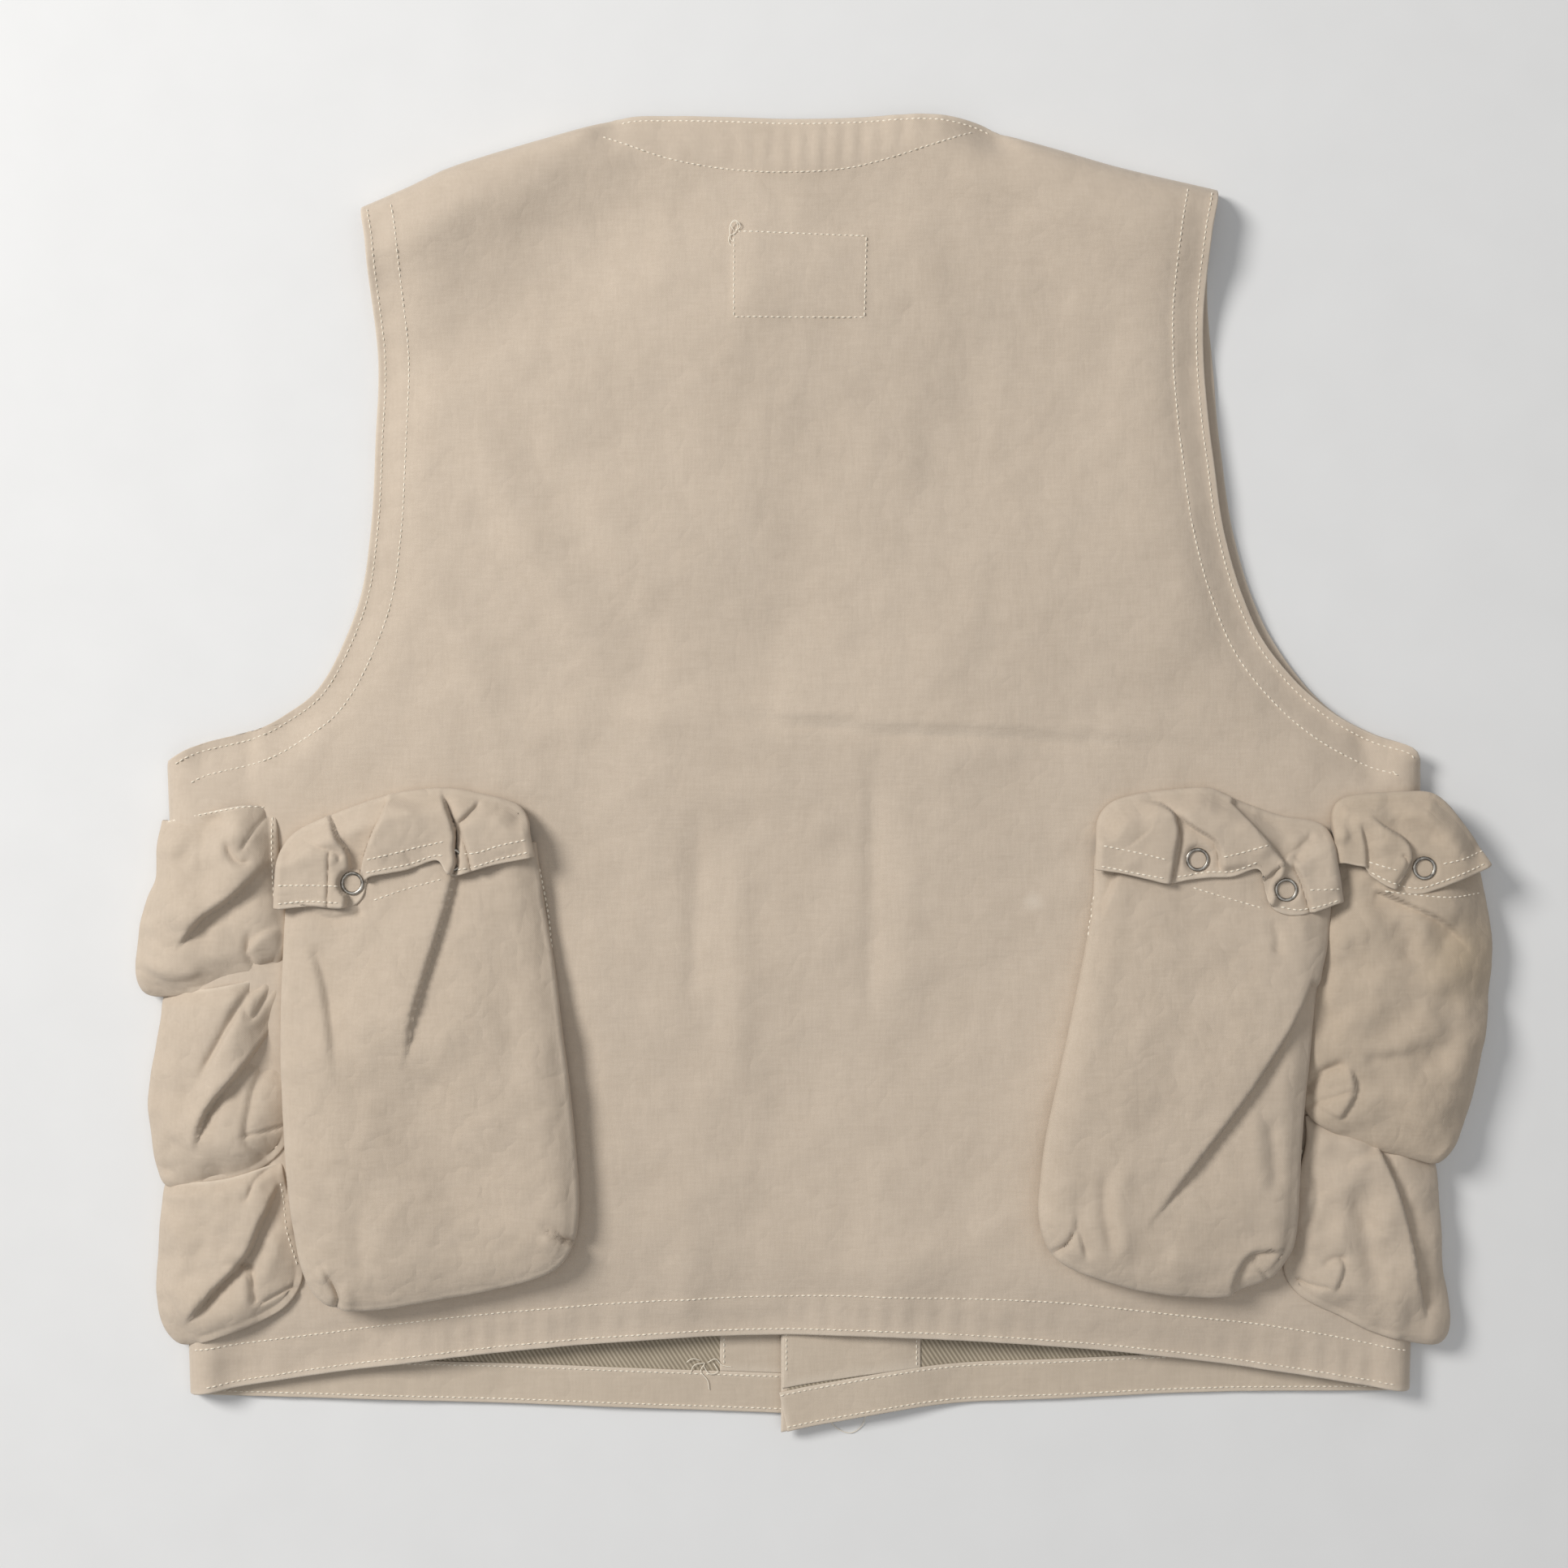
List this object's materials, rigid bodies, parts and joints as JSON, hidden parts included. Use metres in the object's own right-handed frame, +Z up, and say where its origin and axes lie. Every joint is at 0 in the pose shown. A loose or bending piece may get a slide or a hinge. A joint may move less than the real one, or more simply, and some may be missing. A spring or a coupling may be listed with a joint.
{
  "type": "fishing vest",
  "caption": "Sleeveless multi-pocket cotton vest lying on its front: plain back panel, box pockets with snap flaps at the lower back and round the sides, and a snap-closed front.",
  "frame": {"origin": "middle of the base of the whole vest's box, on the surface that the vest lies on", "axes": "+X towards the wearer's right, +Y towards the neck, +Z up through the back of the vest, away from the fronts it lies on"},
  "size_m": [0.636, 0.62, 0.0373],
  "materials": {
    "khaki_cotton": "washed cotton twill, matt",
    "facing_cotton": "plain cotton facing, matt",
    "label_cloth": "woven patch sewn inside the back, blank",
    "snap_steel": "nickelled steel ring snaps, slightly worn"
  },
  "bodies": {
    "vest_body": {"back_panel": "khaki_cotton", "neck_facing": "facing_cotton", "left_armhole_facing": "facing_cotton", "right_armhole_facing": "facing_cotton", "back_hem_facing": "facing_cotton", "label_patch": "label_cloth", "left_front_side": "khaki_cotton", "right_front_side": "khaki_cotton", "left_back_pocket": "khaki_cotton", "right_back_pocket": "khaki_cotton", "left_side_upper_pocket": "khaki_cotton", "left_side_middle_pocket": "khaki_cotton", "left_side_lower_pocket": "khaki_cotton", "right_side_upper_pocket": "khaki_cotton", "right_side_lower_pocket": "khaki_cotton", "left_back_snap_stud_1": "snap_steel", "left_back_snap_stud_2": "snap_steel", "right_back_snap_stud_1": "snap_steel", "right_back_snap_stud_2": "snap_steel", "right_side_snap_stud": "snap_steel"},
    "left_back_flap": {"left_back_flap": "khaki_cotton", "left_back_snap_socket_1": "snap_steel", "left_back_snap_ring_1": "snap_steel", "left_back_snap_socket_2": "snap_steel", "left_back_snap_ring_2": "snap_steel"},
    "right_back_flap": {"right_back_flap": "khaki_cotton", "right_back_snap_socket_1": "snap_steel", "right_back_snap_ring_1": "snap_steel", "right_back_snap_socket_2": "snap_steel", "right_back_snap_ring_2": "snap_steel"},
    "right_side_flap": {"right_side_flap": "khaki_cotton", "right_side_snap_socket": "snap_steel", "right_side_snap_ring": "snap_steel"},
    "left_front": {"left_front_leaf": "khaki_cotton", "left_placket_facing": "facing_cotton", "left_front_hem_band": "facing_cotton", "placket_ring_1": "snap_steel", "placket_socket_1": "snap_steel", "placket_ring_2": "snap_steel", "placket_socket_2": "snap_steel", "placket_ring_3": "snap_steel", "placket_socket_3": "snap_steel", "placket_ring_4": "snap_steel", "placket_socket_4": "snap_steel"},
    "right_front": {"right_front_leaf": "khaki_cotton", "right_placket_facing": "facing_cotton", "right_front_hem_band": "facing_cotton", "placket_stud_1": "snap_steel", "placket_stud_2": "snap_steel", "placket_stud_3": "snap_steel", "placket_stud_4": "snap_steel"}
  },
  "joints": [
    {"name": "left_back_flap_hinge", "type": "hinge", "parent": "vest_body", "child": "left_back_flap", "pos_m": [-0.19, -0.018, 0.0187], "axis": [-0.9962, -0.0872, 0], "range_deg": [0, 145]},
    {"name": "right_back_flap_hinge", "type": "hinge", "parent": "vest_body", "child": "right_back_flap", "pos_m": [0.188, -0.016, 0.0187], "axis": [-0.9962, 0.0872, 0], "range_deg": [0, 145]},
    {"name": "right_side_flap_hinge", "type": "hinge", "parent": "vest_body", "child": "right_side_flap", "pos_m": [0.283, -0.014, 0.0187], "axis": [-1, 0, 0], "range_deg": [0, 145]},
    {"name": "left_front_fold", "type": "hinge", "parent": "vest_body", "child": "left_front", "pos_m": [-0.103, 0.006, 0.0011], "axis": [0, 1, 0], "range_deg": [0, 150]},
    {"name": "right_front_fold", "type": "hinge", "parent": "vest_body", "child": "right_front", "pos_m": [0.085, 0.006, 0.0011], "axis": [0, -1, 0], "range_deg": [0, 120]}
  ],
  "couplings": [
    {"joint": "right_front_fold", "follows": "left_front_fold", "ratio": 0.8}
  ]
}
